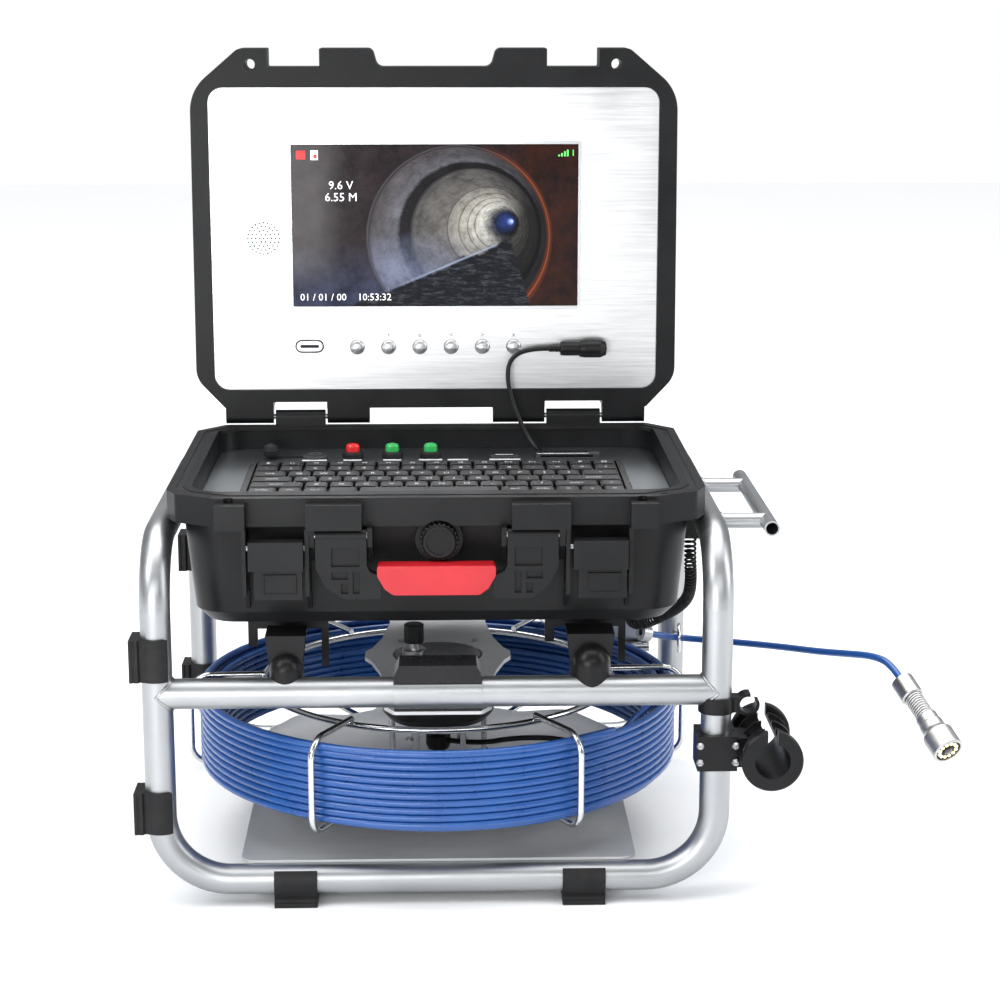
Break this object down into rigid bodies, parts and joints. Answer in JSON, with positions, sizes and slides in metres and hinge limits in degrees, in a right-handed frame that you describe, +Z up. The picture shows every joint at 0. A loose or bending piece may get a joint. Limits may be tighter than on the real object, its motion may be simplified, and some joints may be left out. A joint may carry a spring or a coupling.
{
  "type": "inspection camera",
  "caption": "Pipe inspection camera: monitor case with keyboard and lid screen on a tube frame, a free-spinning reel of push cable and a lit camera head.",
  "frame": {"origin": "on the floor under the middle of the machine without its free cords and camera head", "axes": "+X to the machine's right as the operator faces it, +Y away from the operator, +Z up"},
  "size_m": [0.586, 0.37, 0.5825],
  "materials": {
    "frame_steel": "satin",
    "chrome_wire": "bright",
    "hub_paint": "bead blasted",
    "disc_dark": "dark satin",
    "bearing_steel": "ground",
    "black_plastic": "fine grain",
    "black_rubber": "matt",
    "case_plastic": "satin grain",
    "red_plastic": "satin",
    "green_plastic": "satin",
    "brushed_panel": "brushed",
    "tray_steel": "brushed",
    "key_frame": "satin",
    "key_caps": "satin",
    "screen": "gloss",
    "electronics": "plain",
    "cable_blue": "satin",
    "cord_black": "satin",
    "camera_steel": "turned",
    "camera_window": "gloss",
    "button_silver": "satin",
    "fastener_steel": "plain",
    "insert_grey": "satin"
  },
  "bodies": {
    "chassis": {"frame_loops": "frame_steel", "crossbars": "frame_steel", "crossbar_sleeves": "frame_steel", "side_handle": "frame_steel", "tube_feet": "black_rubber", "base_tray": "tray_steel", "bridge_brackets": "hub_paint", "hub_plate": "hub_paint", "fasteners": "fastener_steel", "hub_spindle": "disc_dark", "bearings": "bearing_steel", "plunger_barrel": "black_plastic", "cable_guide": "frame_steel", "cable_eyelet": "chrome_wire", "push_cable_lead": "cable_blue", "camera_housing": "camera_steel", "camera_spring": "camera_steel", "camera_face": "camera_window", "camera_holder": "black_plastic", "upright_clamps": "black_plastic", "case_base": "case_plastic", "case_seal": "black_rubber", "deck_panel": "brushed_panel", "keyboard_body": "key_frame", "deck_sockets": "insert_grey", "deck_rubber": "black_rubber", "case_electronics": "electronics", "valve_seat": "black_plastic", "side_socket": "black_plastic", "curly_cord": "cord_black", "case_mounts": "black_plastic", "lid_cord": "cord_black"},
    "lid": {"lid_shell": "case_plastic", "lid_panel": "brushed_panel", "lid_trims": "insert_grey", "screen_glass": "screen", "lid_electronics": "electronics", "lid_plug": "cord_black"},
    "reel": {"reel_bowl": "black_plastic", "slip_ring": "black_plastic", "reel_cage": "chrome_wire", "reel_plate": "tray_steel", "push_cable_coil": "cable_blue", "hub_lead": "cord_black"},
    "plunger": {"plunger_knob": "black_plastic"},
    "handle": {"handle_arms": "case_plastic", "handle_grip": "red_plastic"},
    "latch_left": {"latch_left": "black_plastic"},
    "latch_right": {"latch_right": "black_plastic"},
    "valve": {"relief_valve": "black_plastic"},
    "red_button": {"button_red": "red_plastic"},
    "green_button_left": {"button_green_left": "green_plastic"},
    "green_button_right": {"button_green_right": "green_plastic"},
    "keys": {"keycaps": "key_caps"},
    "lid_key_1": {"lid_button_1": "button_silver"},
    "lid_key_2": {"lid_button_2": "button_silver"},
    "lid_key_3": {"lid_button_3": "button_silver"},
    "lid_key_4": {"lid_button_4": "button_silver"},
    "lid_key_5": {"lid_button_5": "button_silver"},
    "lid_key_6": {"lid_button_6": "button_silver"}
  },
  "joints": [
    {"name": "reel_spin", "type": "hinge", "parent": "chassis", "child": "reel", "pos_m": [-0.0195, 0.00988, 0.1075], "axis": [0, 0, 1], "continuous": true},
    {"name": "plunger_pull", "type": "slide", "parent": "chassis", "child": "plunger", "axis": [0, 0, 1], "range_m": [0, 0.007], "stiffness_N_per_m": 300},
    {"name": "lid_hinge", "type": "hinge", "parent": "chassis", "child": "lid", "pos_m": [-0.0195, 0.13988, 0.2945], "axis": [1, 0, 0], "range_deg": [-12, 90], "deforming": ["lid_cord"]},
    {"name": "handle_swing", "type": "hinge", "parent": "chassis", "child": "handle", "pos_m": [-0.0195, -0.14112, 0.2635], "axis": [-1, 0, 0], "range_deg": [0, 90]},
    {"name": "latch_left_swing", "type": "hinge", "parent": "chassis", "child": "latch_left", "pos_m": [-0.1292, -0.14012, 0.2545], "axis": [-1, 0, 0], "range_deg": [0, 75]},
    {"name": "latch_right_swing", "type": "hinge", "parent": "chassis", "child": "latch_right", "pos_m": [0.0922, -0.14012, 0.2545], "axis": [-1, 0, 0], "range_deg": [0, 75]},
    {"name": "valve_turn", "type": "hinge", "parent": "chassis", "child": "valve", "pos_m": [-0.0181, -0.12952, 0.2575], "axis": [0, -1, 0], "range_deg": [-90, 90]},
    {"name": "red_press", "type": "slide", "parent": "chassis", "child": "red_button", "axis": [0, 0, -1], "range_m": [0, 0.0015], "stiffness_N_per_m": 900},
    {"name": "green_left_press", "type": "slide", "parent": "chassis", "child": "green_button_left", "axis": [0, 0, -1], "range_m": [0, 0.0015], "stiffness_N_per_m": 900},
    {"name": "green_right_press", "type": "slide", "parent": "chassis", "child": "green_button_right", "axis": [0, 0, -1], "range_m": [0, 0.0015], "stiffness_N_per_m": 900},
    {"name": "keys_press", "type": "slide", "parent": "chassis", "child": "keys", "axis": [0, 0, -1], "range_m": [0, 0.0007], "stiffness_N_per_m": 6000},
    {"name": "lid_key_1_press", "type": "slide", "parent": "lid", "child": "lid_key_1", "axis": [0, 1, 0], "range_m": [0, 0.0012], "stiffness_N_per_m": 900},
    {"name": "lid_key_2_press", "type": "slide", "parent": "lid", "child": "lid_key_2", "axis": [0, 1, 0], "range_m": [0, 0.0012], "stiffness_N_per_m": 900},
    {"name": "lid_key_3_press", "type": "slide", "parent": "lid", "child": "lid_key_3", "axis": [0, 1, 0], "range_m": [0, 0.0012], "stiffness_N_per_m": 900},
    {"name": "lid_key_4_press", "type": "slide", "parent": "lid", "child": "lid_key_4", "axis": [0, 1, 0], "range_m": [0, 0.0012], "stiffness_N_per_m": 900},
    {"name": "lid_key_5_press", "type": "slide", "parent": "lid", "child": "lid_key_5", "axis": [0, 1, 0], "range_m": [0, 0.0012], "stiffness_N_per_m": 900},
    {"name": "lid_key_6_press", "type": "slide", "parent": "lid", "child": "lid_key_6", "axis": [0, 1, 0], "range_m": [0, 0.0012], "stiffness_N_per_m": 900}
  ]
}
